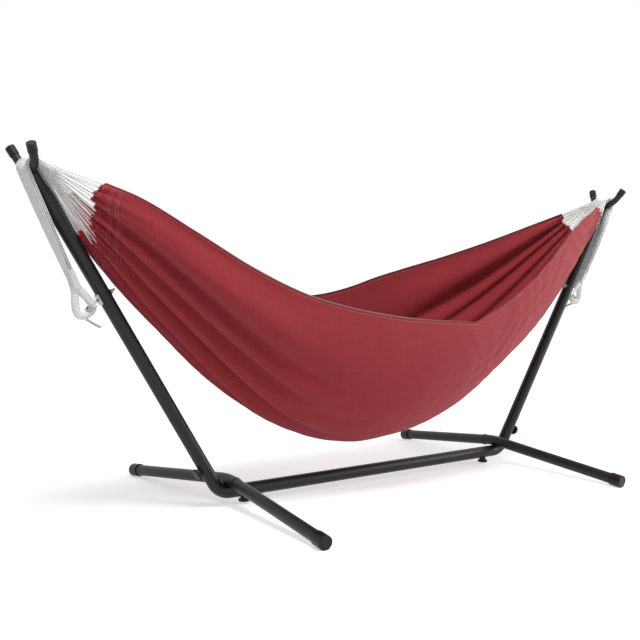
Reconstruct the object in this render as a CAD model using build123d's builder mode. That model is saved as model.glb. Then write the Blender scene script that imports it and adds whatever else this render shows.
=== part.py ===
from build123d import *
import math
import os

os.makedirs("parts", exist_ok=True)

# Driving dimensions, in millimetres.
# X runs along the hammock, -Y is the front, Z is up, and the floor is at Z = 0.
# The two ends are the same unit, turned half a turn about Z, so only the left one is drawn.

# Beam, elbows and arms: one size of round steel tube
TUBE_D = 45.0
TUBE_WALL = 1.6
BEAM_Z = 48.0
CORNER_X = 684.5
ARM_LEAN = 31.95
BEND_R = 75.0
BEAM_SEAM_X = 622.0
ARM_SEAM = 70.0
SPIGOT_D = TUBE_D - 2 * TUBE_WALL - 0.6
SPIGOT_WALL = 1.7
BEAM_SPIGOT_L = 80.0
ARM_SPIGOT_L = 95.0
SHOULDER_L = 4.0

# Arm top, drawn in to a neck that holds the fork
NECK_START = 1126.0
NECK_END = 1186.0
NECK_D = 35.0
ARM_END = 1211.0

# Fork: one tube bent to a wide saddle with two splayed prongs, tilted a little towards the bed
FORK_D = 26.0
FORK_WALL = 1.5
SADDLE_A = 1226.0
SADDLE_R = 75.0
PRONG_SPLAY = 26.0
PRONG_TILT = 8.0
TIP_V = 82.2
FORK_STEM_D = 31.2
FORK_STEM_WALL = 3.0
FORK_STEM_START = 1166.0
FORK_STEM_END = 1222.0
PRONG_CAP_D = 30.0
PRONG_CAP_L = 30.0
PRONG_CAP_END = 4.0

# Feet: a bent one that is welded over the elbow, and a straight one that slips on to it
FOOT_D = 40.0
FOOT_WALL = 1.5
FOOT_APEX = (-650.0, 0.0, 92.0)
FOOT_END = (-696.6, 600.0, 22.3)
FOOT_BEND_R = 280.0
FOOT_SEAM = 46.0
FOOT_SPIGOT_L = 75.0
FOOT_SPIGOT_D = FOOT_D - 2 * FOOT_WALL - 0.6
FOOT_COLLAR_D = 43.4
FOOT_COLLAR_L = 12.0
FOOT_CAP_D = 47.0
FOOT_CAP_L = 46.0
FOOT_CAP_END = 4.0

# Hand knobs and the nuts that they screw into
ARM_KNOB_A = 109.0
BEAM_KNOB_X = 586.0
KNOB_D = 39.0
KNOB_LOBES = 8
KNOB_LOBE_R = 5.0
KNOB_HEAD_L = 9.0
KNOB_HUB_D = 25.0
KNOB_HUB_L = 8.5
KNOB_GAP = 0.5
STUD_D = 8.0
STUD_HOLE_D = 9.0
STUD_IN_HEAD = 12.0
STUD_TIP_R = 9.0
WELD_NUT_FLATS = 13.0
WELD_NUT_L = 6.5
WELD_NUT_FACE_R = 17.0
THREAD_CLEARANCE = 0.06

# Hook bolt through the arm, with its saddle plate, washer and nut
HOOK_A = 789.0
HOOK_D = 8.0
HOOK_HOLE_D = 9.0
HOOK_STEM = 60.0
HOOK_R = 18.5
HOOK_TIP = 9.0
HOOK_INNER_END = 41.0
PLATE_L = 36.0
PLATE_W = 24.0
PLATE_T = 3.0
WASHER_D = 20.0
WASHER_T = 1.6
HOOK_NUT_FLATS = 13.0
HOOK_NUT_L = 6.8
SEAT_GAP = 0.3

# Suspension strings: a fan, a bundle over the saddle and a bound end loop
STRING_D = 3.4
STRING_LAYERS = 3
STRINGS_PER_LAYER = 8
COLUMN_PITCH = 6.3
LAYER_PITCH = 4.6
FAN_X = 1303.0
BUNDLE_END_X = 1310.0
BUNDLE_W = 52.0
BUNDLE_T = 14.0
BUNDLE_CORNER = 6.0
BUNDLE_LIFT = 3.9
FAN_DROP = 34.0
LOOP_NECK = (-1208.5, -18.5, 757.0)
NECK_W = 30.0
NECK_T = 22.0
LOOP_DIRECTION = (0.40, -0.9165)
LOOP_D = 26.0
LOOP_L = 112.0
LOOP_HALF_W = 40.0
LOOP_TOP_R = 14.0
LOOP_BOTTOM_R = 26.0
TAIL_D = 3.4
TAIL_STEP = (-2.2, 0.0, -3.6)
TAIL_ROUTE = [
    (-1174.0, -31.8, 650.4),
    (-1173.0, -42.5, 648.6),
    (-1164.5, -51.0, 641.5),
    (-1151.0, -55.0, 633.0),
    (-1137.5, -53.5, 627.5),
]

# Bed of cloth, hung between the two fans; its left end leans out at the top
LEFT_REACH = 1148.0
RIGHT_REACH = 1180.0
LEFT_LEAN = 0.2
BED_T = 4.0
BED_ARCS = 24
EDGE_Y_MID = 300.0
EDGE_Y_END = 100.0
BED_SHIFT_Y = -20.0
STRING_BITE = 5.0

# Shape of the hanging cloth: share of the reach, heights of the belly, the near and the far edge
BED_ROWS = [
    (-1.00, 862.0, 1068.0, 1046.0),
    (-0.88, 704.0, 989.0, 966.0),
    (-0.75, 559.0, 903.0, 879.0),
    (-0.60, 409.0, 803.0, 794.0),
    (-0.45, 289.0, 726.0, 726.0),
    (-0.30, 214.0, 678.0, 695.0),
    (-0.15, 175.0, 648.0, 691.0),
    (0.00, 179.0, 630.0, 707.0),
    (0.12, 206.0, 618.0, 739.0),
    (0.22, 247.0, 637.0, 773.0),
    (0.34, 314.0, 685.0, 808.0),
    (0.48, 405.0, 767.0, 849.0),
    (0.62, 511.0, 868.0, 897.0),
    (0.76, 648.0, 971.0, 951.0),
    (0.88, 791.0, 1032.0, 1001.0),
    (1.00, 950.0, 1075.0, 1052.0),
]

# Gathers at both ends, and the long folds that run out from them towards the middle.
# Each long fold has its end, its place across at that end and at the middle, its depth,
# which is below zero where it is pushed out, and its reach.
GATHERS = 12
GATHER_DEPTH = 8.0
GATHER_FADE = 4.0
FOLD_WIDTH = 0.021
FOLD_RISE = 0.40
FOLD_LIP = 0.55
FOLD_LIP_PLACE = 1.7
FOLD_SLOPE = 2.2
LONG_FOLDS = [
    (-1, 0.142, 0.235, 30.0, 0.95),
    (-1, 0.230, 0.250, 14.0, 0.62),
    (-1, 0.284, 0.420, 20.0, 0.72),
    (-1, 0.392, 0.450, 12.0, 0.60),
    (-1, 0.560, 0.560, 14.0, 0.62),
    (-1, 0.690, 0.650, 18.0, 0.70),
    (-1, 0.830, 0.780, 20.0, 0.80),
    (1, 0.893, 0.885, -15.0, 0.72),
    (1, 0.812, 0.835, -26.0, 0.78),
    (1, 0.683, 0.890, -15.0, 0.55),
    (1, 0.600, 0.620, 12.0, 0.60),
]

# Frames of the left end unit
SIN_LEAN = math.sin(math.radians(ARM_LEAN))
COS_LEAN = math.cos(math.radians(ARM_LEAN))
CORNER = Vector(-CORNER_X, 0, BEAM_Z)
ARM_DIR = Vector(-SIN_LEAN, 0, COS_LEAN)
OUTWARD = Vector(-COS_LEAN, 0, -SIN_LEAN)
FRONT = Vector(0, -1, 0)
SIDE = Plane(origin=(0, 0, 0), x_dir=(-1, 0, 0), z_dir=(0, 1, 0))
FORK_PLANE = Plane(origin=CORNER, x_dir=FRONT, z_dir=OUTWARD)
ARM_AXIS = Axis(CORNER, ARM_DIR)
SADDLE = CORNER + ARM_DIR * SADDLE_A
PRONG_NORMAL = OUTWARD * math.cos(math.radians(PRONG_TILT)) + ARM_DIR * math.sin(math.radians(PRONG_TILT))
PRONG_PLANE = Plane(origin=SADDLE, x_dir=FRONT, z_dir=PRONG_NORMAL)


def across_arm(along):
    """Frame on the arm's axis, looking out of the arm's outer side."""
    return Plane(origin=CORNER + ARM_DIR * along, x_dir=FRONT, z_dir=OUTWARD)


def straight_tube(start, direction, length, outside, wall):
    """Straight length of round tube."""
    with BuildPart() as tube:
        with BuildSketch(Plane(origin=start, z_dir=direction)):
            Circle(outside / 2)
            Circle(outside / 2 - wall, mode=Mode.SUBTRACT)
        extrude(amount=length)
    return tube.part


def bent_tube(path, outside, wall):
    """Round tube that follows a bent path."""
    with BuildPart() as tube:
        with BuildSketch(Plane(origin=path @ 0, z_dir=path % 0)):
            Circle(outside / 2)
            Circle(outside / 2 - wall, mode=Mode.SUBTRACT)
        sweep(path=path)
    return tube.part


def round_rod(path, outside):
    """Solid round rod that follows a path."""
    with BuildPart() as rod:
        with BuildSketch(Plane(origin=path @ 0, z_dir=path % 0)):
            Circle(outside / 2)
        sweep(path=path)
    return rod.part


# Fork: saddle and prongs bent from one tube, on a short stem that sits in the arm's neck
with BuildPart() as fork:
    fork_apex = SADDLE_R * (1 - 1 / math.sin(math.radians(PRONG_SPLAY)))
    tip_height = fork_apex + TIP_V / math.tan(math.radians(PRONG_SPLAY))
    with BuildLine(PRONG_PLANE) as fork_path:
        FilletPolyline((-TIP_V, tip_height), (0, fork_apex), (TIP_V, tip_height), radius=SADDLE_R)
    fork_line = fork_path.wires()[0]
    add(straight_tube(
        CORNER + ARM_DIR * FORK_STEM_START,
        ARM_DIR,
        FORK_STEM_END - FORK_STEM_START,
        FORK_STEM_D,
        FORK_STEM_WALL,
    ))
    add(round_rod(fork_line, FORK_D))
    add(round_rod(fork_line, FORK_D - 2 * FORK_WALL), mode=Mode.SUBTRACT)

# Prong caps: push-on plastic ends
prong_caps = []
for end in (0, 1):
    tip = fork_line @ end
    outward = (fork_line % end) * (-1 if end == 0 else 1)
    with BuildPart() as prong_cap:
        with BuildSketch(Plane(origin=tip + outward * PRONG_CAP_END, z_dir=-outward)):
            Circle(PRONG_CAP_D / 2)
        extrude(amount=PRONG_CAP_L)
        far_rim = prong_cap.faces().filter_by(GeomType.PLANE).sort_by(Axis(tip, outward))[-1].edges()
        fillet(far_rim, radius=2.4)
        with BuildSketch(Plane(origin=tip + outward * 0.2, z_dir=-outward)):
            Circle(FORK_D / 2 + 0.15)
        extrude(amount=PRONG_CAP_L, mode=Mode.SUBTRACT)
    prong_caps.append(prong_cap.part)

# Arm: straight tube with a drawn-in neck, drilled for the hook bolt and the hand knob
with BuildPart() as arm:
    with BuildSketch(FORK_PLANE):
        with BuildLine():
            Polyline(
                (TUBE_D / 2 - TUBE_WALL, ARM_SEAM),
                (TUBE_D / 2, ARM_SEAM),
                (TUBE_D / 2, NECK_START),
                (NECK_D / 2, NECK_END),
                (NECK_D / 2, ARM_END),
                (NECK_D / 2 - TUBE_WALL, ARM_END),
                (NECK_D / 2 - TUBE_WALL, NECK_END),
                (TUBE_D / 2 - TUBE_WALL, NECK_START),
                close=True,
            )
        make_face()
    revolve(axis=ARM_AXIS)
    with BuildSketch(across_arm(HOOK_A)):
        Circle(HOOK_HOLE_D / 2)
    extrude(amount=TUBE_D, both=True, mode=Mode.SUBTRACT)
    with BuildSketch(across_arm(ARM_KNOB_A)):
        Circle(STUD_HOLE_D / 2)
    extrude(amount=TUBE_D, mode=Mode.SUBTRACT)

# Base elbow: bent tube with a reduced spigot at each end, for the beam and for the arm
with BuildPart() as base_elbow:
    with BuildLine(SIDE) as elbow_path:
        FilletPolyline(
            (BEAM_SEAM_X, BEAM_Z),
            (CORNER_X, BEAM_Z),
            (CORNER_X + ARM_SEAM * SIN_LEAN, BEAM_Z + ARM_SEAM * COS_LEAN),
            radius=BEND_R,
        )
    elbow_line = elbow_path.wires()[0]
    add(bent_tube(elbow_line, TUBE_D, TUBE_WALL))
    for seam, inward, length in (
        (elbow_line @ 0, elbow_line % 0, BEAM_SPIGOT_L),
        (elbow_line @ 1, (elbow_line % 1) * -1, ARM_SPIGOT_L),
    ):
        shoulder_wall = (TUBE_D - SPIGOT_D) / 2 + SPIGOT_WALL
        add(straight_tube(seam, inward, SHOULDER_L, TUBE_D, shoulder_wall))
        add(straight_tube(seam + inward, inward * -1, length, SPIGOT_D, SPIGOT_WALL))
    with BuildSketch(across_arm(ARM_KNOB_A)):
        Circle(STUD_HOLE_D / 2)
    extrude(amount=TUBE_D, mode=Mode.SUBTRACT)
    with BuildSketch(Plane(origin=(-BEAM_KNOB_X, 0, BEAM_Z), z_dir=(0, 0, -1))):
        Circle(STUD_HOLE_D / 2)
    extrude(amount=TUBE_D, mode=Mode.SUBTRACT)

# Centre beam: straight tube over the two beam spigots, drilled for the hand knobs
with BuildPart() as centre_beam:
    add(straight_tube((-BEAM_SEAM_X, 0, BEAM_Z), (1, 0, 0), 2 * BEAM_SEAM_X, TUBE_D, TUBE_WALL))
    for knob_x in (-BEAM_KNOB_X, BEAM_KNOB_X):
        with BuildSketch(Plane(origin=(knob_x, 0, BEAM_Z), z_dir=(0, 0, -1))):
            Circle(STUD_HOLE_D / 2)
        extrude(amount=TUBE_D, mode=Mode.SUBTRACT)

# Feet
foot_apex = Vector(*FOOT_APEX)
rear_end = Vector(*FOOT_END)
front_end = Vector(rear_end.X, -rear_end.Y, rear_end.Z)
rear_dir = (rear_end - foot_apex).normalized()
front_dir = (front_end - foot_apex).normalized()
foot_seam = foot_apex + front_dir * FOOT_SEAM
slip_length = (front_end - foot_seam).length

with BuildPart() as welded_foot:
    with BuildLine() as foot_path:
        FilletPolyline(foot_seam, foot_apex, rear_end, radius=FOOT_BEND_R)
    foot_line = foot_path.wires()[0]
    add(bent_tube(foot_line, FOOT_D, FOOT_WALL))
    add(straight_tube(
        foot_seam,
        front_dir * -1,
        SHOULDER_L,
        FOOT_D,
        (FOOT_D - FOOT_SPIGOT_D) / 2 + FOOT_WALL,
    ))
    add(straight_tube(
        foot_seam - front_dir,
        front_dir,
        FOOT_SPIGOT_L,
        FOOT_SPIGOT_D,
        FOOT_WALL,
    ))
    add(round_rod(elbow_line, TUBE_D), mode=Mode.SUBTRACT)

with BuildPart() as slip_foot:
    add(straight_tube(foot_seam, front_dir, slip_length, FOOT_D, FOOT_WALL))
    add(straight_tube(foot_seam, front_dir, FOOT_COLLAR_L, FOOT_COLLAR_D, FOOT_WALL + 1))

# Foot caps: plastic cups with a flat pad where they stand on the floor
foot_caps = []
for end_point, end_dir in ((front_end, front_dir), (rear_end, rear_dir)):
    outer_end = end_point + end_dir * FOOT_CAP_END
    with BuildPart() as foot_cap:
        with BuildSketch(Plane(origin=outer_end, z_dir=end_dir * -1)):
            Circle(FOOT_CAP_D / 2)
        extrude(amount=FOOT_CAP_L)
        end_face = foot_cap.faces().filter_by(GeomType.PLANE).sort_by(Axis(end_point, end_dir))[-1]
        fillet(end_face.edges(), radius=3.0)
        with BuildSketch(Plane(origin=end_point + end_dir * 0.2, z_dir=end_dir * -1)):
            Circle(FOOT_D / 2 + 0.15)
        extrude(amount=FOOT_CAP_L, mode=Mode.SUBTRACT)
        split(bisect_by=Plane.XY, keep=Keep.TOP)
    foot_caps.append(foot_cap.part)


def hand_knob(seat):
    """Lobed knob head on a hub, bored for its stud. The seat is on the tube's axis."""
    hub_start = TUBE_D / 2 + KNOB_GAP
    with BuildPart() as knob:
        with BuildSketch(seat.offset(hub_start)):
            Circle(KNOB_HUB_D / 2)
        extrude(amount=KNOB_HUB_L)
        with BuildSketch(seat.offset(hub_start + KNOB_HUB_L)):
            Circle(KNOB_D / 2)
            with PolarLocations(KNOB_D / 2 + KNOB_LOBE_R * 0.62, KNOB_LOBES):
                Circle(KNOB_LOBE_R, mode=Mode.SUBTRACT)
        extrude(amount=KNOB_HEAD_L)
        top_face = knob.faces().filter_by(GeomType.PLANE).sort_by(Axis(seat.origin, seat.z_dir))[-1]
        fillet(top_face.edges(), radius=1.6)
        with BuildSketch(seat.offset(hub_start)):
            Circle(STUD_D / 2)
        extrude(amount=STUD_IN_HEAD, mode=Mode.SUBTRACT)
    return knob.part


def knob_stud(seat):
    """Threaded stud that is moulded into the knob."""
    stud_end = TUBE_D / 2 + KNOB_GAP + STUD_IN_HEAD
    with BuildPart() as stud:
        with BuildSketch(seat.offset(STUD_TIP_R)):
            Circle(STUD_D / 2)
        extrude(amount=stud_end - STUD_TIP_R)
        tip_face = stud.faces().filter_by(GeomType.PLANE).sort_by(Axis(seat.origin, seat.z_dir))[0]
        chamfer(tip_face.edges(), length=0.8)
    return stud.part


def weld_nut(seat):
    """Hexagon nut that is welded inside the spigot."""
    with BuildPart() as nut:
        with BuildSketch(seat.offset(WELD_NUT_FACE_R - WELD_NUT_L)):
            RegularPolygon(WELD_NUT_FLATS / 2, 6, major_radius=False)
            Circle(STUD_D / 2 + THREAD_CLEARANCE, mode=Mode.SUBTRACT)
        extrude(amount=WELD_NUT_L)
    return nut.part


arm_knob_seat = across_arm(ARM_KNOB_A)
beam_knob_seat = Plane(origin=(-BEAM_KNOB_X, 0, BEAM_Z), x_dir=FRONT, z_dir=(0, 0, -1))

# Hook bolt: round rod with a bent end that the loop hangs on
hook_seat = across_arm(HOOK_A)
hook_plane = Plane(origin=hook_seat.origin, x_dir=OUTWARD, z_dir=OUTWARD.cross(FRONT))
with BuildPart() as hook_bolt:
    with BuildLine(hook_plane) as hook_path:
        Line((-HOOK_INNER_END, 0), (HOOK_STEM, 0))
        ThreePointArc((HOOK_STEM, 0), (HOOK_STEM + HOOK_R, HOOK_R), (HOOK_STEM, 2 * HOOK_R))
        Line((HOOK_STEM, 2 * HOOK_R), (HOOK_STEM - HOOK_TIP, 2 * HOOK_R))
    hook_line = hook_path.wires()[0]
    add(round_rod(hook_line, HOOK_D))
    rod_ends = hook_bolt.faces().filter_by(GeomType.PLANE)
    chamfer(rod_ends.edges(), length=0.9)

# Saddle plate: pressed strip that beds on the arm's outer side
with BuildPart() as hook_plate:
    with BuildSketch(hook_seat.offset(TUBE_D / 2 - PLATE_T)):
        RectangleRounded(PLATE_W, PLATE_L, 3.0)
        Circle(HOOK_HOLE_D / 2, mode=Mode.SUBTRACT)
    extrude(amount=2 * PLATE_T)
    outer_rim = hook_plate.faces().filter_by(GeomType.PLANE).sort_by(Axis(hook_seat.origin, OUTWARD))[-1]
    fillet(outer_rim.outer_wire().edges(), radius=1.0)
    with BuildSketch(Plane(origin=CORNER + ARM_DIR * (HOOK_A - PLATE_L), z_dir=ARM_DIR)):
        Circle(TUBE_D / 2 + 0.05)
    extrude(amount=2 * PLATE_L, mode=Mode.SUBTRACT)

inner_seat = Plane(origin=hook_seat.origin, x_dir=FRONT, z_dir=OUTWARD * -1)
with BuildPart() as hook_washer:
    with BuildSketch(inner_seat.offset(TUBE_D / 2 + SEAT_GAP / 2)):
        Circle(WASHER_D / 2)
        Circle(HOOK_HOLE_D / 2, mode=Mode.SUBTRACT)
    extrude(amount=WASHER_T)

with BuildPart() as hook_nut:
    with BuildSketch(inner_seat.offset(TUBE_D / 2 + SEAT_GAP / 2 + WASHER_T)):
        RegularPolygon(HOOK_NUT_FLATS / 2, 6, major_radius=False)
        Circle(HOOK_D / 2 + THREAD_CLEARANCE, mode=Mode.SUBTRACT)
    extrude(amount=HOOK_NUT_L)

# End loop: the strings bound together into one thick closed loop that hangs on the hook
loop_down = Vector(LOOP_DIRECTION[0], 0, LOOP_DIRECTION[1]).normalized()
loop_plane = Plane(origin=LOOP_NECK, x_dir=loop_down, z_dir=(0, 1, 0))
with BuildPart() as end_loop:
    with BuildLine(loop_plane) as loop_path:
        FilletPolyline(
            (LOOP_L, -1),
            (LOOP_L, -LOOP_HALF_W),
            (0, 0),
            (LOOP_L, LOOP_HALF_W),
            (LOOP_L, 1),
            radius=[LOOP_BOTTOM_R, LOOP_TOP_R, LOOP_BOTTOM_R],
        )
        Line((LOOP_L, 1), (LOOP_L, -1))
    loop_line = loop_path.wires()[0]
    add(round_rod(loop_line, LOOP_D))

# String bundle: a flat bundle from the fan, over the saddle and down the arm's outer side
bundle_r = FORK_D / 2 + BUNDLE_LIFT + BUNDLE_T / 2
neck_point = Vector(*LOOP_NECK)
saddle_u = -SADDLE.X
saddle_z = SADDLE.Z
run_x = -neck_point.X - saddle_u
run_z = neck_point.Z - saddle_z
run_angle = math.atan2(run_z, run_x) + math.asin(bundle_r / math.hypot(run_x, run_z))
outer_angle = run_angle + math.pi / 2
fan_angle = math.pi / 2 + math.radians(FAN_DROP)
mid_angle = (outer_angle + fan_angle) / 2
outer_point = (saddle_u + bundle_r * math.cos(outer_angle), saddle_z + bundle_r * math.sin(outer_angle))
crown_point = (saddle_u + bundle_r * math.cos(mid_angle), saddle_z + bundle_r * math.sin(mid_angle))
inner_point = (saddle_u + bundle_r * math.cos(fan_angle), saddle_z + bundle_r * math.sin(fan_angle))
fan_rise = math.tan(math.radians(FAN_DROP))
fan_z = inner_point[1] - (inner_point[0] - BUNDLE_END_X) * fan_rise
run_dir = Vector(-math.cos(run_angle), 0, math.sin(run_angle))
outer_start = Vector(-outer_point[0], 0, outer_point[1])
with BuildPart() as string_bundle:
    with BuildLine(SIDE) as bundle_path:
        Line((BUNDLE_END_X - BUNDLE_T, fan_z - BUNDLE_T * fan_rise), inner_point)
        ThreePointArc(inner_point, crown_point, outer_point)
    bundle_line = bundle_path.wires()[0]
    with BuildSketch(Plane(origin=bundle_line @ 0, x_dir=FRONT, z_dir=bundle_line % 0)):
        RectangleRounded(BUNDLE_W, BUNDLE_T, BUNDLE_CORNER)
    sweep(path=bundle_line)
    split(bisect_by=Plane(origin=(-BUNDLE_END_X, 0, 0), z_dir=(-1, 0, 0)), keep=Keep.TOP)
    with BuildSketch(Plane(origin=outer_start, x_dir=FRONT, z_dir=run_dir)):
        RectangleRounded(BUNDLE_W, BUNDLE_T, BUNDLE_CORNER)
    with BuildSketch(Plane(origin=neck_point + loop_down * LOOP_TOP_R, x_dir=FRONT, z_dir=run_dir)):
        RectangleRounded(NECK_W, NECK_T, BUNDLE_CORNER)
    loft(ruled=True)
    add(end_loop.part, mode=Mode.SUBTRACT)

# Loose string ends below the loop
with BuildPart() as loop_tail:
    for strand in (0, 1):
        route = [Vector(*point) + Vector(*TAIL_STEP) * strand for point in TAIL_ROUTE]
        radii = []
        for before, here, after in zip(route, route[1:], route[2:]):
            run_in = here - before
            run_out = after - here
            half_turn = math.radians(run_in.get_angle(run_out)) / 2
            radii.append(0.45 * min(run_in.length, run_out.length) / math.tan(half_turn))
        print("tail radii", [round(radius, 1) for radius in radii])
        with BuildLine() as tail_path:
            FilletPolyline(*route, radius=radii)
        tail_line = tail_path.wires()[0]
        print("tail length", round(tail_line.length, 1))
        add(round_rod(tail_line, TAIL_D))


def fold_height(along, across, width_share):
    """How far the folds lift the cloth outwards at one place. They get shallower where it is narrow."""
    height = GATHER_DEPTH * abs(along) ** GATHER_FADE * math.cos(2 * math.pi * GATHERS * across)
    for end, at_end, at_middle, depth, reach in LONG_FOLDS:
        near_end = max(along * end, 0)
        rise = min(max((near_end - 1 + reach) / FOLD_RISE, 0), 1)
        rise = rise * rise * (3 - 2 * rise) * width_share
        centre = at_middle + (at_end - at_middle) * near_end
        from_hem = (across - centre) / FOLD_WIDTH * (1 if centre < 0.5 else -1)
        hollow = from_hem / FOLD_SLOPE if from_hem < 0 else from_hem
        lip = FOLD_LIP * math.exp(-((from_hem - FOLD_LIP_PLACE) / 1.2) ** 2)
        height += depth * rise * (lip - math.exp(-hollow ** 2))
    return height


def bed_station(row):
    """Frame of one cross-section of the bed, and its points from the near edge to the far edge."""
    along, belly, near_edge, far_edge = row
    share = abs(along)
    half_width = EDGE_Y_END + (EDGE_Y_MID - EDGE_Y_END) * (1 - share ** 2)
    bed_reach = LEFT_REACH if along < 0 else RIGHT_REACH
    lean = LEFT_LEAN * min(along, 0) ** 3
    plane = Plane(
        origin=(bed_reach * along, BED_SHIFT_Y * (1 - share), belly),
        x_dir=(0, 1, 0),
        z_dir=(1, 0, -lean),
    )
    outer = []
    inner = []
    for step in range(2 * BED_ARCS + 1):
        across = step / (2 * BED_ARCS)
        turn = math.pi * (across - 0.5)
        rise = ((near_edge if turn < 0 else far_edge) - belly) * math.hypot(1, lean)
        point = Vector(half_width * math.sin(turn), rise * (1 - math.cos(turn)))
        normal = Vector(rise * math.sin(turn), -half_width * math.cos(turn)).normalized()
        lift = fold_height(along, across, half_width / EDGE_Y_MID)
        outer.append(point + normal * lift)
        inner.append(point + normal * (lift - BED_T))
    return plane, outer, inner


# Fabric bed: one sheet with folds that run out from both gathered ends
with BuildPart() as fabric_bed:
    for row in BED_ROWS:
        plane, outer, inner = bed_station(row)
        with BuildSketch(plane):
            with BuildLine():
                for first in range(0, 2 * BED_ARCS, 2):
                    ThreePointArc(*outer[first:first + 3])
                Line(outer[-1], inner[-1])
                for first in range(0, 2 * BED_ARCS, 2):
                    ThreePointArc(*inner[first:first + 3])
                Line(inner[0], outer[0])
            make_face()
    loft(ruled=True)

fan_centre = Vector(-FAN_X, 0, fan_z - (BUNDLE_END_X - FAN_X) * fan_rise)
fan_up = Vector(fan_rise, 0, 1).normalized()


def string_fan(row, turn):
    """Single strings from the bundle's end to the gathered edge of the cloth, drawn at the left end.
    They leave the bundle in three layers, and each column of it serves its own part of the edge."""
    plane, outer, inner = bed_station(row)
    middle = [(out + back) * 0.5 for out, back in zip(outer, inner)]
    rim = [plane.from_local_coords(point).rotate(Axis.Z, turn) for point in middle]
    if turn:
        rim.reverse()
    string_count = STRING_LAYERS * STRINGS_PER_LAYER
    with BuildPart() as fan:
        for number in range(string_count):
            column = number // STRING_LAYERS
            layer = number % STRING_LAYERS
            if number < string_count / 2:
                layer = STRING_LAYERS - 1 - layer
            sideways = (column - (STRINGS_PER_LAYER - 1) / 2) * COLUMN_PITCH
            fan_start = fan_centre + Vector(0, sideways, 0)
            fan_start += fan_up * ((layer - (STRING_LAYERS - 1) / 2) * LAYER_PITCH)
            reach = rim[2 * number + 1] - fan_start
            with BuildSketch(Plane(origin=fan_start, z_dir=reach)):
                Circle(STRING_D / 2)
            extrude(amount=reach.length + STRING_BITE)
    return fan.part


# Both ends are written from the left unit. A half turn swaps front and rear.
end_pieces = [
    ("base_elbow", "base_elbow", base_elbow.part),
    ("arm", "arm", arm.part),
    ("fork", "fork", fork.part),
    ("rear_prong_cap", "front_prong_cap", prong_caps[0]),
    ("front_prong_cap", "rear_prong_cap", prong_caps[1]),
    ("welded_foot", "welded_foot", welded_foot.part),
    ("slip_foot", "slip_foot", slip_foot.part),
    ("front_foot_cap", "rear_foot_cap", foot_caps[0]),
    ("rear_foot_cap", "front_foot_cap", foot_caps[1]),
    ("arm_knob", "arm_knob", hand_knob(arm_knob_seat)),
    ("arm_knob_stud", "arm_knob_stud", knob_stud(arm_knob_seat)),
    ("arm_weld_nut", "arm_weld_nut", weld_nut(arm_knob_seat)),
    ("beam_knob", "beam_knob", hand_knob(beam_knob_seat)),
    ("beam_knob_stud", "beam_knob_stud", knob_stud(beam_knob_seat)),
    ("beam_weld_nut", "beam_weld_nut", weld_nut(beam_knob_seat)),
    ("hook_bolt", "hook_bolt", hook_bolt.part),
    ("hook_plate", "hook_plate", hook_plate.part),
    ("hook_washer", "hook_washer", hook_washer.part),
    ("hook_nut", "hook_nut", hook_nut.part),
    ("string_bundle", "string_bundle", string_bundle.part),
    ("end_loop", "end_loop", end_loop.part),
    ("loop_tail", "loop_tail", loop_tail.part),
]
for left_name, right_name, solid in end_pieces:
    for node, turn in ((f"left_{left_name}", 0), (f"right_{right_name}", 180)):
        with BuildPart() as piece:
            add(solid.rotate(Axis.Z, turn))
        piece.part.label = node
        export_step(piece.part, f"parts/{node}.step")

for node, row, turn in (("left_string_fan", BED_ROWS[0], 0), ("right_string_fan", BED_ROWS[-1], 180)):
    with BuildPart() as fan_piece:
        add(string_fan(row, turn).rotate(Axis.Z, turn))
    fan_piece.part.label = node
    export_step(fan_piece.part, f"parts/{node}.step")
    print(node, "strings", len(fan_piece.solids()))

for node, whole in (("centre_beam", centre_beam), ("fabric_bed", fabric_bed)):
    whole.part.label = node
    export_step(whole.part, f"parts/{node}.step")

print("swing axis height", round(fan_centre.Z, 2))
print("bed centre of mass", fabric_bed.part.center(CenterOf.MASS))
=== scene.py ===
import math

import bpy
import numpy as np
from mathutils import Matrix, Vector


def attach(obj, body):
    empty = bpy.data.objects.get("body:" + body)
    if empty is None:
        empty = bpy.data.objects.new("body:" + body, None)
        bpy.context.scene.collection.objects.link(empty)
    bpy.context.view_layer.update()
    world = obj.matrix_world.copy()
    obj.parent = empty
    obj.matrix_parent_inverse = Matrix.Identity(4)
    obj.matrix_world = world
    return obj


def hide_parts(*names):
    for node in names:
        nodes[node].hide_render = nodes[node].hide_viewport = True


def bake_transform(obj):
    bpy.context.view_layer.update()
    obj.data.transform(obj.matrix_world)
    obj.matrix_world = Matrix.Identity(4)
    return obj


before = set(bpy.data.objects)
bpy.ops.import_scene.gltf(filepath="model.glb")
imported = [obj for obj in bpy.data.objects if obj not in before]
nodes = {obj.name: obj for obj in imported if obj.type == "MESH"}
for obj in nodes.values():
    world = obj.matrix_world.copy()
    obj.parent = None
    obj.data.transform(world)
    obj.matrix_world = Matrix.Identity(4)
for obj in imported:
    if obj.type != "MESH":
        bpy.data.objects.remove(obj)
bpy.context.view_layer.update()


# Steel tubes of the stand: beam, elbows, arms, forks and feet.
# They are bent and welded mild steel with a charcoal powder coat of a fine even grain.
# The tubes slide into each other, and the hand knobs hold them.
class Signal:
    """One output of a shader node. Arithmetic on it adds Math nodes."""

    def __init__(self, finish, socket):
        self.finish = finish
        self.socket = socket

    def math(self, operation, first, second):
        return self.finish.node(
            "ShaderNodeMath", {"operation": operation}, {0: first, 1: second})

    def __add__(self, other):
        return self.math("ADD", self, other)

    def __sub__(self, other):
        return self.math("SUBTRACT", self, other)

    def __rsub__(self, other):
        return self.math("SUBTRACT", other, self)

    def __mul__(self, other):
        return self.math("MULTIPLY", self, other)

    __radd__ = __add__
    __rmul__ = __mul__


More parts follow.
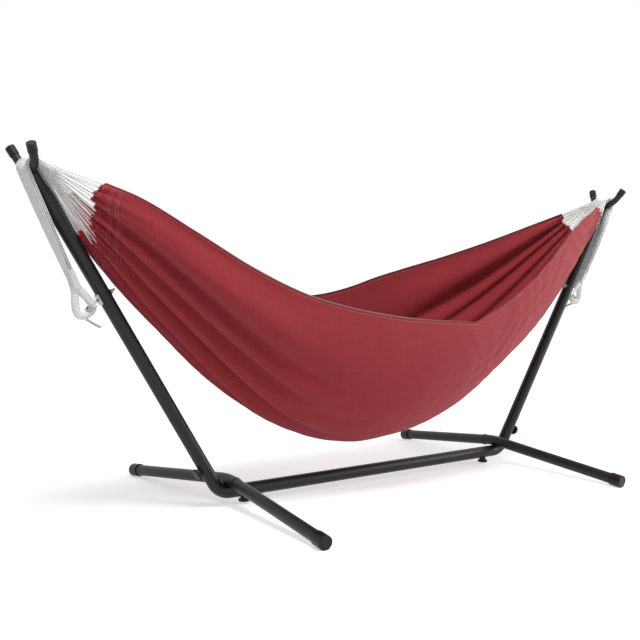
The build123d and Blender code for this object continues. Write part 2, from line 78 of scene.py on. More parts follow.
class Shading:
    """The nodes of a material or of the world."""

    def __init__(self, tree):
        self.tree = tree

    def node(self, kind, settings, sockets, output=0):
        made = self.tree.nodes.new(kind)
        for key, value in settings.items():
            if key == "stops":
                for element, (position, colour) in zip(made.color_ramp.elements, value):
                    element.position = position
                    element.color = colour
            else:
                setattr(made, key, value)
        for key, value in sockets.items():
            if isinstance(value, Signal):
                self.tree.links.new(value.socket, made.inputs[key])
            else:
                made.inputs[key].default_value = value
        return Signal(self, made.outputs[output])


class Finish(Shading):
    """A material: a Principled shader with set values, and nodes that vary it over the surface."""

    def __init__(self, name, values):
        self.material = bpy.data.materials.new(name)
        self.material.use_nodes = True
        super().__init__(self.material.node_tree)
        self.shader = self.tree.nodes["Principled BSDF"]
        for socket, value in values.items():
            self.shader.inputs[socket].default_value = value

    def place(self, kind="Object"):
        return self.node("ShaderNodeTexCoord", {}, {}, kind)

    def stretched(self, where, scale):
        return self.node("ShaderNodeMapping", {}, {"Vector": where, "Scale": scale})

    def noise(self, where, scale, detail=2.0):
        return self.node(
            "ShaderNodeTexNoise", {}, {"Vector": where, "Scale": scale, "Detail": detail})

    def shades(self, signal, dark, light, low=0.3, high=0.7):
        stops = [(low, dark), (high, light)]
        return self.node("ShaderNodeValToRGB", {"stops": stops}, {0: signal})

    def feed(self, socket, signal):
        self.tree.links.new(signal.socket, self.shader.inputs[socket])

    def relief(self, height, depth, strength=1.0):
        bump = self.node(
            "ShaderNodeBump", {}, {"Height": height, "Distance": depth, "Strength": strength})
        self.feed("Normal", bump)


# Scale of the finest grain, fibre or twist that shows
FINE_GRAIN = 900.0
powder_coat = Finish("charcoal_powder_coat", {"Specular IOR Level": 0.27})
coat_place = powder_coat.place()
coat_grain = powder_coat.noise(coat_place, FINE_GRAIN, 3.0)
coat_drift = powder_coat.noise(coat_place, 14.0)
powder_coat.feed("Base Color", powder_coat.shades(
    coat_grain * 0.6 + coat_drift * 0.4, (0.010, 0.010, 0.0105, 1), (0.019, 0.019, 0.020, 1)))
powder_coat.feed("Roughness", 0.28 + coat_grain * 0.14 + coat_drift * 0.06)
powder_coat.relief(coat_grain, 0.0003, 0.5)

TUBE_PIECES = ("base_elbow", "arm", "fork", "welded_foot", "slip_foot")
tube_nodes = ["centre_beam"]
tube_nodes += [f"{end}_{piece}" for end in ("left", "right") for piece in TUBE_PIECES]


def dress(names, finish):
    """Gives CAD nodes a finish."""
    for name in names:
        nodes[name].data.materials.clear()
        nodes[name].data.materials.append(finish.material)


dress(tube_nodes, powder_coat)

# End caps and hand knobs: moulded black polypropylene, pushed on or screwed in by hand.
# The mould leaves a faint grain, and the black is a little uneven.
black_plastic = Finish("moulded_black_plastic", {"Specular IOR Level": 0.26})
mould_place = black_plastic.place()
mould_grain = black_plastic.noise(mould_place, 1400.0, 2.0)
mould_drift = black_plastic.noise(mould_place, 45.0)
black_plastic.feed("Base Color", black_plastic.shades(
    mould_drift, (0.004, 0.004, 0.0044, 1), (0.009, 0.009, 0.0096, 1)))
black_plastic.feed("Roughness", 0.26 + mould_grain * 0.12 + mould_drift * 0.08)
black_plastic.relief(mould_grain, 0.0002, 0.4)
dress([name for name in nodes if name.endswith(("_cap", "_knob"))], black_plastic)

# Hook bolts, plates, washers, nuts and knob studs: zinc-plated steel, pale grey and softly cloudy.
# Each hook goes through its arm, with a plate on the outer side and a washer and nut on the inner.
zinc = Finish("zinc_plate", {"Metallic": 1.0})
zinc_place = zinc.place()
zinc_cloud = zinc.noise(zinc_place, 160.0, 3.0)
zinc_grain = zinc.noise(zinc_place, 1800.0)
zinc.feed("Base Color", zinc.shades(zinc_cloud, (0.30, 0.30, 0.31, 1), (0.46, 0.46, 0.45, 1)))
zinc.feed("Roughness", 0.26 + zinc_cloud * 0.2)
zinc.relief(zinc_grain, 0.0001, 0.35)
ZINC_MARKS = ("_hook_", "_stud", "weld_nut")
dress([name for name in nodes if any(mark in name for mark in ZINC_MARKS)], zinc)

# Bed of the hammock: one sheet of plain-woven red cotton, gathered by strings at both ends.
# Deep folds run out from the gathers and die away in the belly of the cloth.
TURN = 2 * math.pi
GATHERS = 24
LEFT_REACH = 1.148
RIGHT_REACH = 1.180
LEFT_LEAN = 0.2
CLOTH_THICKNESS = 0.0014
CLOTH_FLAT = (1.28, 2.87)
GRID_ALONG = 190
GRID_ACROSS = 250
GRID_CROWDING = 1.3
# Share of the reach, and the heights of the belly, the near and the far edge
BED_ROWS = np.array([
    (-1.00, 0.862, 1.067, 1.046),
    (-0.88, 0.704, 1.013, 0.966),
    (-0.75, 0.559, 0.918, 0.879),
    (-0.60, 0.409, 0.808, 0.794),
    (-0.45, 0.289, 0.726, 0.726),
    (-0.30, 0.214, 0.678, 0.695),
    (-0.15, 0.175, 0.648, 0.691),
    (0.00, 0.179, 0.630, 0.707),
    (0.12, 0.206, 0.622, 0.739),
    (0.17, 0.226, 0.616, 0.757),
    (0.22, 0.247, 0.634, 0.773),
    (0.34, 0.314, 0.685, 0.808),
    (0.48, 0.405, 0.767, 0.849),
    (0.62, 0.511, 0.868, 0.897),
    (0.76, 0.648, 0.971, 0.951),
    (0.88, 0.791, 1.032, 1.001),
    (1.00, 0.950, 1.075, 1.052),
])
HALF_WIDTH_MIDDLE = 0.300
HALF_WIDTH_END = 0.100
BED_SHIFT = -0.020
# Each sharp crease between two folds: its place across at the end and in the middle of the bed,
# and its reach from the end
LEFT_CREASES = [
    (0.130, 0.245, 0.80), (0.214, 0.320, 0.80), (0.290, 0.460, 0.84), (0.395, 0.560, 0.80),
    (0.500, 0.610, 0.78), (0.610, 0.670, 0.74), (0.720, 0.740, 0.75), (0.850, 0.815, 0.82),
]
RIGHT_CREASES = [
    (0.550, 0.580, 0.57), (0.660, 0.650, 0.70), (0.745, 0.700, 0.81), (0.828, 0.768, 0.94),
    (0.897, 0.830, 0.94),
]
# How far each fold bulges out, as a share of its width, from the near hem to the far hem
LEFT_BULGES = (0.38, 0.62, 0.60, 0.54, 0.38, 0.36, 0.42, 0.42, 0.16)
RIGHT_BULGES = (0.0, -0.24, -0.34, -0.42, -0.46, -0.42)
FOLD_RISE = 0.60
CREASE_ROUNDING = 0.05
CREASE_SINK = 3
# How far the folds sag towards the belly, with 1 for none. The fold at the near hem sags more
FOLD_SAG = 1.6
HEM_SAG = 1.7
GIRTH_END = 0.50
GIRTH_MIDDLE = 1.25
# Pleats, gathers and scallops close to the ends, with powers that keep them there
PLEATS = 12
PLEAT_DEPTH = 0.003
PLEAT_POWER = 4
PLEAT_WANDER = 0.34
PLEAT_WANDER_RATE = (0.4, 2.3)
PLEAT_SHIFT = 0.2
GATHER_DEPTH = 0.0048
GATHER_POWER = 16
SCALLOP = 0.005
SCALLOP_POWER = 40
# The near corner at the left end is flared
EAR_HEIGHT = 0.013
EAR_FROM, EAR_RISE, EAR_WIDTH = 0.86, 0.14, 0.09
# Long shallow waves all over, fine creases in the near part of the belly, and small crumples that
# are deepest at the near right. A rate is how fast a wave runs along and across the cloth, and a
# range along or across is where it starts, its rise, where it ends to fade, and its fade
RIPPLE = 0.003
RIPPLE_RATES = ((4, 9), (13, 5))
BELLY_CREASES = 11
BELLY_CREASE_DEPTH = 0.0050
BELLY_ALONG = (-0.60, 0.25, -0.16, 0.24)
BELLY_ACROSS = (0.22, 0.10, 0.38, 0.10)
BELLY_WANDER = 0.5
BELLY_WANDER_RATE = (5, 7)
BELLY_UNEVEN = 0.4
BELLY_UNEVEN_RATE = (6, 17)
CRUMPLE = 0.0027
CRUMPLE_LEAST = 0.25
CRUMPLE_RATES = ((52, 24), (-23, 50))
CRUMPLE_WANDERS = (1.9, 2.3)
CRUMPLE_WANDER_RATES = ((9, 23), (21, -13))
HANDLED_FROM, HANDLED_RISE = 0.05, 0.35
HANDLED_TO, HANDLED_FADE = 0.20, 0.20
# How far the bound ends stand out past the even line, from the near corner to the far corner
LEFT_TRIM = np.array([
    (0.00, -0.036), (0.05, -0.006), (0.09, 0.008), (0.15, 0.004), (0.22, 0.018),
    (0.29, 0.012), (0.335, -0.004), (0.39, 0.028), (0.44, 0.044), (0.50, 0.036),
    (0.56, 0.030), (0.66, 0.008), (0.80, 0.012), (0.93, 0.004), (1.00, -0.016),
])
RIGHT_TRIM = np.array([
    (0.00, -0.004), (0.10, 0.004), (0.22, -0.003), (0.34, 0.004), (0.45, -0.006),
    (0.56, -0.014), (0.66, 0.004), (0.78, 0.012), (0.88, -0.002), (1.00, -0.004),
])
TRIM_FADE = 10


def through(spots, heights, places):
    """Smooth curve through a few chosen points."""
    slopes = np.gradient(heights, spots)
    index = np.clip(np.searchsorted(spots, places) - 1, 0, len(spots) - 2)
    span = spots[index + 1] - spots[index]
    t = (places - spots[index]) / span
    start, end = heights[index], heights[index + 1]
    leave, arrive = slopes[index] * span, slopes[index + 1] * span
    bend = (2 * start - 2 * end + leave + arrive) * t ** 3
    bend += (3 * end - 3 * start - 2 * leave - arrive) * t ** 2
    return bend + leave * t + start


def ease(value):
    """A soft step from 0 to 1."""
    value = np.clip(value, 0, 1)
    return value * value * (3 - 2 * value)


def window(value, start, rise, end, fade):
    """One in the middle of a range, easing off to zero on both sides of it."""
    return ease((value - start) / rise) * (1 - ease((value - end) / fade))


def swell(along, across, rate, wander=0.0):
    """A wave that runs over the cloth, with a rate along it and a rate across it."""
    return np.sin(rate[0] * along + rate[1] * across + wander)


def half_width(along):
    """Half the distance between the hems."""
    return HALF_WIDTH_END + (HALF_WIDTH_MIDDLE - HALF_WIDTH_END) * (1 - along ** 2)


def gathers(across):
    """The even ripple that the strings draw into both ends."""
    return np.cos(TURN * (GATHERS * across - 0.5))


def smooth_bed(along, across):
    """The cloth with no folds. Along runs from -1 to 1 and across from 0, the near hem, to 1."""
    trim = np.where(along < 0, through(*LEFT_TRIM.T, across), through(*RIGHT_TRIM.T, across))
    along = along * (1 + trim / RIGHT_REACH * np.abs(along) ** TRIM_FADE)
    share = np.abs(along)
    turn = (across - 0.5) * math.pi
    belly, near_edge, far_edge = (
        through(BED_ROWS[:, 0], BED_ROWS[:, row], along) for row in (1, 2, 3))
    edge = np.where(across < 0.5, near_edge, far_edge)
    lift = (edge - belly) * (1 - np.cos(turn))
    reach = np.where(along < 0, LEFT_REACH, RIGHT_REACH) * along
    reach += LEFT_LEAN * np.minimum(along, 0) ** 3 * lift
    side = BED_SHIFT * (1 - share) + half_width(along) * np.sin(turn)
    return np.stack([reach, side, belly + lift], -1)


def round_folds(near_end, across, creases, bulges):
    """Rounded folds that lie side by side, with a sharp crease between each two."""
    girth = GIRTH_END + (GIRTH_MIDDLE - GIRTH_END) * (1 - near_end ** 2)
    lines = [np.zeros_like(across)]
    rises = []
    for at_end, at_middle, reach in creases:
        lines.append(at_middle + (at_end - at_middle) * near_end)
        rises.append(ease((near_end - 1 + reach) / FOLD_RISE))
    lines.append(np.ones_like(across))
    rises = [rises[0]] + rises + [rises[-1]]
    depths = []
    for fold, bulge in enumerate(bulges):
        width = (lines[fold + 1] - lines[fold]) * girth
        depths.append(bulge * width * np.sqrt(rises[fold] * rises[fold + 1]))
    sunk = [np.zeros_like(across)]
    sunk += [(before + after) / CREASE_SINK for before, after in zip(depths, depths[1:])]
    sunk.append(np.zeros_like(across))
    height = np.zeros_like(across)
    for fold, depth in enumerate(depths):
        share = (across - lines[fold]) / (lines[fold + 1] - lines[fold])
        inside = (share >= 0) & (share < 1)
        within = np.clip(share, 0, 1)
        sag = FOLD_SAG if fold else HEM_SAG
        sagged = np.where(across < 0.5, within ** sag, 1 - (1 - within) ** sag)
        near_side, far_side = (
            np.sqrt(part ** 2 + CREASE_ROUNDING ** 2) - CREASE_ROUNDING
            for part in (sagged, 1 - sagged))
        folded = depth * 4 * near_side * far_side
        folded = folded - sunk[fold] * (1 - share) - sunk[fold + 1] * share
        height = np.where(inside, folded, height)
    return height


def fold_height(along, across):
    """How far the folds lift the cloth outwards."""
    share = np.abs(along)
    height = round_folds(np.clip(-along, 0, 1), across, LEFT_CREASES, LEFT_BULGES)
    height = height + round_folds(np.clip(along, 0, 1), across, RIGHT_CREASES, RIGHT_BULGES)
    wander = PLEAT_WANDER * swell(TURN * along, TURN * across, PLEAT_WANDER_RATE)
    wander = wander + PLEAT_SHIFT * np.sign(along)
    height += PLEAT_DEPTH * share ** PLEAT_POWER * np.cos(TURN * (PLEATS * across + wander))
    height += GATHER_DEPTH * share ** GATHER_POWER * gathers(across)
    flared = ease((-along - EAR_FROM) / EAR_RISE) * (1 - ease(across / EAR_WIDTH))
    height += EAR_HEIGHT * flared
    belly = window(along, *BELLY_ALONG) * window(across, *BELLY_ACROSS)
    wander = BELLY_WANDER * swell(along, across, BELLY_WANDER_RATE)
    crease = np.sin(TURN * (BELLY_CREASES * across + wander))
    uneven = 1 - BELLY_UNEVEN + BELLY_UNEVEN * swell(along, across, BELLY_UNEVEN_RATE)
    height += BELLY_CREASE_DEPTH * belly * crease * uneven
    handled = ease((along - HANDLED_FROM) / HANDLED_RISE)
    handled = handled * (1 - ease((across - HANDLED_TO) / HANDLED_FADE))
    crumple = 1.0
    for rate, far, wander_rate in zip(CRUMPLE_RATES, CRUMPLE_WANDERS, CRUMPLE_WANDER_RATES):
        wander = far * swell(along, across, wander_rate)
        crumple = crumple * swell(along, across, rate, wander)
    height += CRUMPLE * (CRUMPLE_LEAST + (1 - CRUMPLE_LEAST) * handled) * crumple
    ripple = swell(along, across, RIPPLE_RATES[0]) * swell(along, across, RIPPLE_RATES[1])
    return height + RIPPLE * ripple * (1 - share ** PLEAT_POWER)


def bed(along, across, lift=0.0):
    """Points of the finished cloth, lifted off it by a small distance towards the outside."""
    step = 1e-4
    place = smooth_bed(along, across)
    lengthwise = smooth_bed(along + step, across) - smooth_bed(along - step, across)
    crosswise = smooth_bed(along, across + step) - smooth_bed(along, across - step)
    outward = -np.cross(lengthwise, crosswise)
    outward /= np.linalg.norm(outward, axis=-1, keepdims=True)
    place = place + outward * (fold_height(along, across) + lift)[..., None]
    pull = SCALLOP * gathers(across) * np.abs(along) ** SCALLOP_POWER
    place[..., 0] += np.sign(along) * pull
    return place


bpy.ops.object.select_all(action="DESELECT")
bpy.ops.mesh.primitive_grid_add(
    x_subdivisions=GRID_ALONG, y_subdivisions=GRID_ACROSS, size=2, calc_uvs=True)
cloth = bpy.context.object
cloth.name = "cotton_bed"
flat = np.zeros(len(cloth.data.vertices) * 3)
cloth.data.vertices.foreach_get("co", flat)
flat = flat.reshape(-1, 3)
cloth_along = np.sign(flat[:, 0]) * (1 - (1 - np.abs(flat[:, 0])) ** GRID_CROWDING)
cloth_across = (flat[:, 1] + 1) / 2
cloth.data.vertices.foreach_set("co", bed(cloth_along, cloth_across).ravel())
corner_vertex = np.zeros(len(cloth.data.loops), dtype=np.int32)
cloth.data.loops.foreach_get("vertex_index", corner_vertex)
flat_place = np.stack([cloth_along * CLOTH_FLAT[1] / 2, cloth_across * CLOTH_FLAT[0]], -1)
cloth.data.uv_layers[0].data.foreach_set("uv", flat_place[corner_vertex].ravel())
thick = cloth.modifiers.new("thickness", "SOLIDIFY")
thick.thickness = CLOTH_THICKNESS
thick.offset = 0.0
bpy.ops.object.modifier_apply(modifier=thick.name)
bpy.ops.object.shade_smooth()

# The weave's threads are about a millimetre apart. Thicker threads show as faint streaks both ways,
# and the dye is a little uneven, so the red drifts slowly over the cloth.
THREADS = 950.0
STREAK_LENGTHWAYS = (6.0, 420.0, 1.0)
STREAK_CROSSWAYS = (420.0, 6.0, 1.0)
red_cotton = Finish("red_plain_weave", {
    "Specular IOR Level": 0.28, "Sheen Weight": 0.18,
    "Sheen Roughness": 0.6, "Sheen Tint": (1.0, 0.55, 0.55, 1)})
weave_place = red_cotton.place("UV")
weave_parts = red_cotton.node("ShaderNodeSeparateXYZ", {}, {"Vector": weave_place})
weave_across = Signal(red_cotton, weave_parts.socket.node.outputs["Y"])


def wave(finish, signal, rate):
    return finish.node("ShaderNodeMath", {"operation": "SINE"}, {0: signal * rate})


warp = wave(red_cotton, weave_parts, THREADS * math.pi)
weft = wave(red_cotton, weave_across, THREADS * math.pi)
weave = warp * weft * 0.5 + 0.5
warp_streak = red_cotton.noise(red_cotton.stretched(weave_place, STREAK_LENGTHWAYS), 1.0, 3.0)
weft_streak = red_cotton.noise(red_cotton.stretched(weave_place, STREAK_CROSSWAYS), 1.0, 3.0)
dye_drift = red_cotton.noise(weave_place, 5.0, 3.0)
thread_tone = warp_streak * 0.4 + weft_streak * 0.3 + dye_drift * 0.2 + weave * 0.1
red_cotton.feed("Base Color", red_cotton.shades(
    thread_tone, (0.228, 0.013, 0.021, 1), (0.390, 0.031, 0.040, 1), 0.25, 0.75))
red_cotton.feed("Roughness", 0.78 + weave * 0.12)
red_cotton.relief(weave * 0.6 + warp_streak * 0.4, 0.0005, 0.5)
cloth.data.materials.append(red_cotton.material)
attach(cloth, "hammock")
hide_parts("fabric_bed")


# Side hems: the long edges of the cloth are turned over and bound with a narrow tape.
# It shows as a thin line: red, with painted shade on the far edge, and undyed on the left of the
# near one.
def tube_piece(name, splines, radius, sides, finish, closed=False):
    """Round tubes along given points, as one mesh."""
    line = bpy.data.curves.new(name, "CURVE")
    line.dimensions = "3D"
    line.bevel_depth = radius
    line.bevel_resolution = sides
    line.use_fill_caps = True
    for points in splines:
        spline = line.splines.new("POLY")
        spline.points.add(len(points) - 1)
        spline.points.foreach_set("co", np.column_stack([points, np.ones(len(points))]).ravel())
        spline.use_cyclic_u = closed
        spline.use_smooth = True
    piece = bpy.data.objects.new(name, line)
    bpy.context.collection.objects.link(piece)
    bpy.ops.object.select_all(action="DESELECT")
    bpy.context.view_layer.objects.active = piece
    piece.select_set(True)
    bpy.ops.object.convert(target="MESH")
    piece = bpy.context.object
    piece.data.materials.clear()
    piece.data.materials.append(finish.material)
    bpy.ops.object.shade_smooth()
    return piece


HEM_RADIUS = 0.0022
HEM_INSET = 0.0015
HEM_REACH = 0.995
HEM_POINTS = 360
hem_tape = Finish("hem_tape", {"Roughness": 0.9, "Specular IOR Level": 0.2})
tape_place = hem_tape.place()
tape_streak = hem_tape.noise(tape_place, 500.0, 3.0)
tape_x = hem_tape.node("ShaderNodeSeparateXYZ", {}, {"Vector": tape_place}, "X")
tape_y = Signal(hem_tape, tape_x.socket.node.outputs["Y"])


def tape_from(where, start, end):
    """Rises from 0 to 1 between two places."""
    return hem_tape.node(
        "ShaderNodeMapRange", {}, {"Value": where, "From Min": start, "From Max": end})


def tape_mix(share, first, second):
    return hem_tape.node(
        "ShaderNodeMix", {"data_type": "RGBA"}, {0: share, 6: first, 7: second}, 2)


undyed = hem_tape.shades(tape_streak, (0.20, 0.13, 0.10, 1), (0.34, 0.25, 0.20, 1))
dyed = hem_tape.shades(tape_streak, (0.20, 0.030, 0.036, 1), (0.38, 0.09, 0.09, 1))
# The far edge's darker red is painted shade, not a darker tape.
far_painted_shade = hem_tape.shades(tape_streak, (0.09, 0.025, 0.026, 1), (0.16, 0.05, 0.05, 1))
bare = tape_from(tape_x, -0.85, -0.65) * (1 - tape_from(tape_x, -0.15, 0.10))
near_tape = tape_mix(bare, dyed, undyed)
hem_tape.feed("Base Color", tape_mix(tape_from(tape_y, -0.02, 0.02), near_tape, far_painted_shade))
hem_tape.relief(tape_streak, 0.0004, 0.6)
hem_along = np.linspace(-HEM_REACH, HEM_REACH, HEM_POINTS)
for name, edge in (("near_hem", HEM_INSET), ("far_hem", 1 - HEM_INSET)):
    hem_line = bed(hem_along, np.full_like(hem_along, edge))
    hem = tube_piece(name, [hem_line], HEM_RADIUS, 2, hem_tape)
    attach(hem, "hammock")

# Seams: rows of pale pink stitching hold the doubled bands at the ends and the turned-over hems.
# Every stitch is its own short length of thread, and shows on both faces of the cloth.
STITCH_RADIUS = 0.0007
STITCH_LIFT = CLOTH_THICKNESS / 2 + 0.0004
STITCH_POINTS = 4
BAND_ROWS = (0.014, 0.040, 0.047, 0.064, 0.071)
BAND_STITCHES = 190
BAND_MARGIN = 0.006
HEM_ROW = 0.011
HEM_STITCHES = 330
HEM_ROW_REACH = 0.985
pink_thread = Finish("pale_pink_thread", {"Roughness": 0.7, "Specular IOR Level": 0.3})
thread_place = pink_thread.place()
thread_twist = pink_thread.noise(thread_place, FINE_GRAIN)
pink_thread.feed("Base Color", pink_thread.shades(
    thread_twist, (0.44, 0.19, 0.20, 1), (0.64, 0.37, 0.36, 1)))


def stitch_row(along, across, lift):
    """Splits a row of places on the cloth into single stitches, with a gap after each."""
    points = bed(along, across, lift)
    shown = STITCH_POINTS - 1
    return [points[start:start + shown] for start in range(0, len(points) - shown, STITCH_POINTS)]


stitches = []
for lift in (STITCH_LIFT, -STITCH_LIFT):
    for end in (-1, 1):
        for row in BAND_ROWS:
            row_across = np.linspace(BAND_MARGIN, 1 - BAND_MARGIN, BAND_STITCHES * STITCH_POINTS)
            row_along = np.full_like(row_across, end * (1 - row / RIGHT_REACH))
            stitches += stitch_row(row_along, row_across, lift)
    for edge in (HEM_ROW / CLOTH_FLAT[0], 1 - HEM_ROW / CLOTH_FLAT[0]):
        row_along = np.linspace(-HEM_ROW_REACH, HEM_ROW_REACH, HEM_STITCHES * STITCH_POINTS)
        stitches += stitch_row(row_along, np.full_like(row_along, edge), lift)
seam_thread = tube_piece("seam_stitches", stitches, STITCH_RADIUS, 0, pink_thread)
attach(seam_thread, "hammock")

# Suspension strings: twisted white cotton, two plies each.
# They leave the gathered edge of the cloth, run together over the fork's saddle, and go down
# the outer side of the arm side by side to the bound loop.
STRINGS = 72
STRINGS_PER_GATHER = 3
STRING_COLUMNS = 24
STRING_LAYERS = 3
COLUMN_PITCH = 0.0031
LAYER_PITCH = 0.0044
STRING_GAP = 0.27
PLY_RADIUS = 0.00105
PLY_OFFSET = 0.00080
PLY_TURN = 0.015
# The left saddle: its centre along the stand and up, the radius of the strings' way over it,
# the radius of its bend, and the way that its prongs point
SADDLE_CENTRE = np.array((-1.3334, 1.0883))
SADDLE_RUN_R = 0.0196
SADDLE_BEND_R = 0.062
PRONG_DIRECTION = np.array((-0.4059, 0.0, 0.9139))
# Where the strings part to fan out, and their slope and their angle round the saddle there
FAN_START = (-1.3030, 1.0940)
FAN_DROP = math.radians(34.0)
FAN_ANGLE = math.radians(124.0)
LOOP_NECK = np.array((-1.2085, -0.0185, 0.7570))
NECK_COLUMN_PITCH = 0.0015
NECK_LAYER_PITCH = 0.0064
STRING_BITE = 0.004
STRING_EDGE = 0.999
STRING_STEP = 0.0028
ROUTE_RESOLUTION = 10
FAN_SHARES = (0.3, 0.65)
SADDLE_STEPS = 5
# Across the arm, towards the middle of the stand: the strings bend just inside the saddle
# Any direction that no string or loop runs along
ASIDE = (0.31, 0.89, 0.33)
# Down the arm: the share of the way to the neck, and how much of the width over the saddle is kept
SPREAD_KEPT = ((0.10, 0.97), (0.40, 0.80), (0.70, 0.46), (0.92, 0.10), (1.0, 0.0))

white_cotton = Finish("white_cotton_string", {"Specular IOR Level": 0.2, "Sheen Weight": 0.2})
string_place = white_cotton.place()
fibre = white_cotton.noise(string_place, FINE_GRAIN, 3.0)
soil = white_cotton.noise(string_place, 25.0)
white_cotton.feed("Base Color", white_cotton.shades(
    fibre * 0.6 + soil * 0.4, (0.82, 0.815, 0.805, 1), (0.93, 0.925, 0.915, 1)))
white_cotton.feed("Roughness", 0.82 + fibre * 0.12)
white_cotton.relief(fibre, 0.0004, 0.6)


def smooth_route(control, closed=False):
    """Points of the smooth curve that chosen control points pull into shape."""
    line = bpy.data.curves.new("route", "CURVE")
    line.dimensions = "3D"
    spline = line.splines.new("NURBS")
    spline.points.add(len(control) - 1)
    spline.points.foreach_set("co", np.column_stack([control, np.ones(len(control))]).ravel())
    spline.use_cyclic_u = closed
    spline.order_u = 3
    spline.use_endpoint_u = not closed
    spline.resolution_u = ROUTE_RESOLUTION
    route = bpy.data.objects.new("route", line)
    mesh = bpy.data.meshes.new_from_object(route)
    points = np.zeros(len(mesh.vertices) * 3)
    mesh.vertices.foreach_get("co", points)
    bpy.data.objects.remove(route)
    bpy.data.curves.remove(line)
    bpy.data.meshes.remove(mesh)
    return points.reshape(-1, 3)


def spaced(points, step):
    """The same route with its points evenly spaced."""
    gaps = np.linalg.norm(np.diff(points, axis=0), axis=1)
    distance = np.concatenate([[0], np.cumsum(gaps)])
    marks = np.linspace(0, distance[-1], max(3, int(distance[-1] / step)))
    even = [np.interp(marks, distance, points[:, axis]) for axis in range(3)]
    return np.column_stack(even), marks


def side_frames(points):
    """Two directions across a route at each of its points, carried along it without twisting."""
    ahead = np.gradient(points, axis=0)
    ahead /= np.linalg.norm(ahead, axis=1, keepdims=True)
    first = np.cross(ahead[0], ASIDE)
    sides = []
    for direction in ahead:
        first = first - direction * np.dot(first, direction)
        first /= np.linalg.norm(first)
        sides.append((first, np.cross(direction, first)))
    sides = np.array(sides)
    return sides[:, 0], sides[:, 1]


def wound(points, marks, radius, turn_length, start=0.0):
    """A helix round a route."""
    first, second = side_frames(points)
    angle = (TURN * marks / turn_length + start)[:, None]
    return points + (first * np.cos(angle) + second * np.sin(angle)) * radius


def half_turn(points):
    """Turns points half a turn about the vertical, from one end of the stand to the other."""
    return np.asarray(points) * (-1, -1, 1)


run_vector = np.array((LOOP_NECK[0] - SADDLE_CENTRE[0], LOOP_NECK[2] - SADDLE_CENTRE[1]))
run_length = np.linalg.norm(run_vector)


def string_route(number, edge_point, inside_point):
    """Control points of one string at the left end, from the cloth to the loop's neck.

    Over the saddle the outer strings lie higher, because the fork bends up on both sides.
    """
    column = number // STRING_LAYERS
    layer = number % STRING_LAYERS
    if number < STRINGS / 2:
        layer = STRING_LAYERS - 1 - layer
    sideways = (column - (STRING_COLUMNS - 1) / 2) * COLUMN_PITCH
    rise = (layer - (STRING_LAYERS - 1) / 2) * LAYER_PITCH
    sag = SADDLE_BEND_R - math.sqrt(SADDLE_BEND_R ** 2 - sideways ** 2)
    ride_up = PRONG_DIRECTION * sag
    radius = SADDLE_RUN_R + rise
    fan_x = FAN_START[0] + rise * math.sin(FAN_DROP)
    fan_z = FAN_START[1] + rise * math.cos(FAN_DROP)
    fan = np.array((fan_x, sideways, fan_z)) + ride_up
    route = [inside_point, edge_point]
    route += [edge_point + (fan - edge_point) * share for share in FAN_SHARES]
    route.append(fan)
    run_angle = math.atan2(run_vector[1], -run_vector[0]) - math.asin(SADDLE_RUN_R / run_length)
    last_angle = run_angle + math.pi / 2
    reach = radius / math.cos((FAN_ANGLE - last_angle) / SADDLE_STEPS / 2)
    for angle in np.linspace(FAN_ANGLE, last_angle, SADDLE_STEPS + 1):
        over_x = SADDLE_CENTRE[0] - reach * math.cos(angle)
        over_z = SADDLE_CENTRE[1] + reach * math.sin(angle)
        route.append(np.array((over_x, sideways, over_z)) + ride_up)
    top = route[-1]
    outward = np.array((-math.cos(last_angle), 0, math.sin(last_angle)))
    neck = LOOP_NECK + outward * rise * NECK_LAYER_PITCH / LAYER_PITCH
    neck = neck + np.array((0, sideways * NECK_COLUMN_PITCH / COLUMN_PITCH, 0))
    for share, spread in SPREAD_KEPT:
        place = top + (neck - top) * share
        place[1] = neck[1] + (top[1] - neck[1]) * spread
        route.append(place)
    return np.array(route)


string_numbers = np.arange(STRINGS)
string_places = string_numbers // STRINGS_PER_GATHER + 0.5
string_places = string_places + (string_numbers % STRINGS_PER_GATHER - 1) * STRING_GAP
string_places = string_places / GATHERS
halves = (("near", string_numbers[:STRINGS // 2]), ("far", string_numbers[STRINGS // 2:]))
for end_name, end in (("left", -1), ("right", 1)):
    edge_points = bed(np.full(STRINGS, STRING_EDGE * end), string_places)
    inside_points = bed(np.full(STRINGS, end * (1 - STRING_BITE / RIGHT_REACH)), string_places)
    if end == 1:
        edge_points = half_turn(edge_points)[::-1]
        inside_points = half_turn(inside_points)[::-1]
    for half, numbers in halves:
        plies = []
        for number in numbers:
            route = smooth_route(string_route(number, edge_points[number], inside_points[number]))
            points, marks = spaced(route, STRING_STEP)
            for ply in (0, math.pi):
                strand = wound(points, marks, PLY_OFFSET, PLY_TURN, ply + number)
                plies.append(strand if end == -1 else half_turn(strand))
        strings = tube_piece(
            f"{end_name}_{half}_strings", plies, PLY_RADIUS, 0, white_cotton)
        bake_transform(strings)
        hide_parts(f"{end_name}_string_fan", f"{end_name}_string_bundle")

# End loops: the strings turn back on themselves and are bound all round with thick cotton cord.
# A thinner cord binds the neck above. Each loop hangs on the hook in its arm.
LOOP_DOWN = np.array((0.40, 0.0, -0.9165))
LOOP_SIDE = np.array((-0.9165, 0.0, -0.40))
LOOP_OUTLINE = [
    (0.002, 0.000), (0.030, -0.010), (0.068, -0.026), (0.094, -0.027), (0.103, -0.010),
    (0.103, 0.010), (0.094, 0.027), (0.068, 0.026), (0.030, 0.010),
]
BINDING_R = 0.0034
BINDING_PITCH = 0.0070
BINDING_REACH = 0.0098
LOOP_STEP = 0.0006
CORE_R = 0.0116
CORE_EVERY = 6
NECK_BINDING = 0.062
NECK_CORD_R = 0.0019
NECK_PITCH = 0.0039
NECK_TURN_POINTS = 24
NECK_BELOW = 0.016
